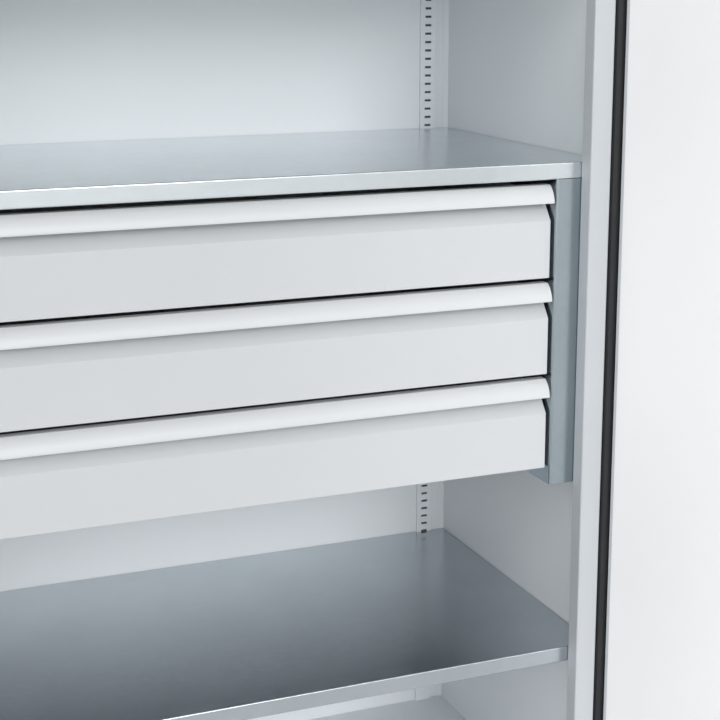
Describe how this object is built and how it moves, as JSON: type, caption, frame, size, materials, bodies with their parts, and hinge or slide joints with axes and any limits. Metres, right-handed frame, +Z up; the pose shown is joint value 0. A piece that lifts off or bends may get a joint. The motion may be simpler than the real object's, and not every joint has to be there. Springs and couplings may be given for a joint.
{
  "type": "storage cabinet with drawers",
  "caption": "Heavy-duty steel storage cabinet with two hinged doors, galvanised shelves and full-width drawers under the middle shelf.",
  "frame": {"origin": "on the floor, in the middle of the width and of the body's depth, on the underside of the middle base support", "axes": "+Z up, the front faces -Y, +X to the right seen from the front"},
  "size_m": [1.5527, 1.202, 1.95],
  "materials": {
    "body_paint": "light grey powder coat, satin",
    "base_paint": "light grey powder coat, satin",
    "door_paint": "near-white powder coat, satin",
    "drawer_paint": "light grey powder coat, satin",
    "handle_paint": "light grey powder coat, satin",
    "galvanised": "smooth galvanised sheet, blurred reflections",
    "zinc_steel": "bright zinc plate",
    "seal_rubber": "matt black rubber",
    "bush_plastic": "black bearing plastic",
    "lock_plastic": "dark moulded plastic, fine grain",
    "lock_chrome": "polished"
  },
  "bodies": {
    "cabinet": {"side_panel_left": "body_paint", "side_panel_right": "body_paint", "side_liner_left": "body_paint", "side_liner_right": "body_paint", "front_post_left": "body_paint", "front_post_right": "body_paint", "slot_strip_left": "body_paint", "slot_strip_right": "body_paint", "back_panel": "body_paint", "ceiling_panel": "body_paint", "floor_panel": "body_paint", "top_rail": "body_paint", "bottom_rail": "body_paint", "seal_seat": "body_paint", "door_seal": "seal_rubber", "top_cap": "body_paint", "top_deck": "body_paint", "base_deck": "body_paint", "base_frame": "base_paint", "base_crossmember": "base_paint", "shelf_upper": "galvanised", "shelf_middle": "galvanised", "shelf_lower": "galvanised", "shelf_clips": "zinc_steel", "drawer_carrier_left": "galvanised", "drawer_carrier_right": "galvanised", "carrier_ties": "galvanised", "slide_outers": "zinc_steel", "pivot_bushes": "bush_plastic"},
    "drawer_1": {"drawer_tray_1": "drawer_paint", "drawer_front_1": "drawer_paint", "drawer_handle_1": "handle_paint", "slide_inners_1": "zinc_steel"},
    "slide_1": {"slide_middles_1": "zinc_steel"},
    "drawer_2": {"drawer_tray_2": "drawer_paint", "drawer_front_2": "drawer_paint", "drawer_handle_2": "handle_paint", "slide_inners_2": "zinc_steel"},
    "slide_2": {"slide_middles_2": "zinc_steel"},
    "drawer_3": {"drawer_tray_3": "drawer_paint", "drawer_front_3": "drawer_paint", "drawer_handle_3": "handle_paint", "slide_inners_3": "zinc_steel"},
    "slide_3": {"slide_middles_3": "zinc_steel"},
    "right_door": {"door_right_outer": "door_paint", "door_right_inner": "door_paint", "door_right_pins": "zinc_steel", "handle_base": "lock_plastic", "lock_case": "lock_plastic", "rod_guides": "zinc_steel"},
    "handle": {"door_handle": "lock_plastic", "lock_cam": "zinc_steel"},
    "upper_rod": {"lock_rod_upper": "zinc_steel"},
    "lower_rod": {"lock_rod_lower": "zinc_steel"},
    "key": {"lock_cylinder": "lock_chrome"},
    "left_door": {"door_left_outer": "door_paint", "door_left_inner": "door_paint", "door_left_pins": "zinc_steel", "door_astragal": "door_paint"}
  },
  "joints": [
    {"name": "right_door_hinge", "type": "hinge", "parent": "cabinet", "child": "right_door", "pos_m": [0.594, -0.309, 1.005], "axis": [0, 0, 1], "range_deg": [-105, 5]},
    {"name": "left_door_hinge", "type": "hinge", "parent": "cabinet", "child": "left_door", "pos_m": [-0.594, -0.309, 1.005], "axis": [0, 0, -1], "range_deg": [-105, 5]},
    {"name": "drawer_1_slide", "type": "slide", "parent": "cabinet", "child": "drawer_1", "axis": [0, -1, 0], "range_m": [0, 0.5]},
    {"name": "slide_1_travel", "type": "slide", "parent": "cabinet", "child": "slide_1", "axis": [0, -1, 0], "range_m": [0, 0.25]},
    {"name": "drawer_2_slide", "type": "slide", "parent": "cabinet", "child": "drawer_2", "axis": [0, -1, 0], "range_m": [0, 0.5]},
    {"name": "slide_2_travel", "type": "slide", "parent": "cabinet", "child": "slide_2", "axis": [0, -1, 0], "range_m": [0, 0.25]},
    {"name": "drawer_3_slide", "type": "slide", "parent": "cabinet", "child": "drawer_3", "axis": [0, -1, 0], "range_m": [0, 0.5]},
    {"name": "slide_3_travel", "type": "slide", "parent": "cabinet", "child": "slide_3", "axis": [0, -1, 0], "range_m": [0, 0.25]},
    {"name": "handle_turn", "type": "hinge", "parent": "right_door", "child": "handle", "pos_m": [0.74815, -0.82053, 1.05], "axis": [-0.9659, -0.2588, 0], "range_deg": [0, 90]},
    {"name": "upper_rod_slide", "type": "slide", "parent": "right_door", "child": "upper_rod", "axis": [0, 0, 1], "range_m": [0, 0.0198]},
    {"name": "lower_rod_slide", "type": "slide", "parent": "right_door", "child": "lower_rod", "axis": [0, 0, -1], "range_m": [0, 0.0198]},
    {"name": "key_turn", "type": "hinge", "parent": "right_door", "child": "key", "pos_m": [0.74815, -0.82053, 0.982], "axis": [-0.9659, -0.2588, 0], "range_deg": [0, 90]}
  ],
  "couplings": [
    {"joint": "slide_1_travel", "follows": "drawer_1_slide", "ratio": 0.5},
    {"joint": "slide_2_travel", "follows": "drawer_2_slide", "ratio": 0.5},
    {"joint": "slide_3_travel", "follows": "drawer_3_slide", "ratio": 0.5},
    {"joint": "upper_rod_slide", "follows": "handle_turn", "m_per_rad": 0.012604},
    {"joint": "lower_rod_slide", "follows": "handle_turn", "m_per_rad": 0.012604}
  ]
}
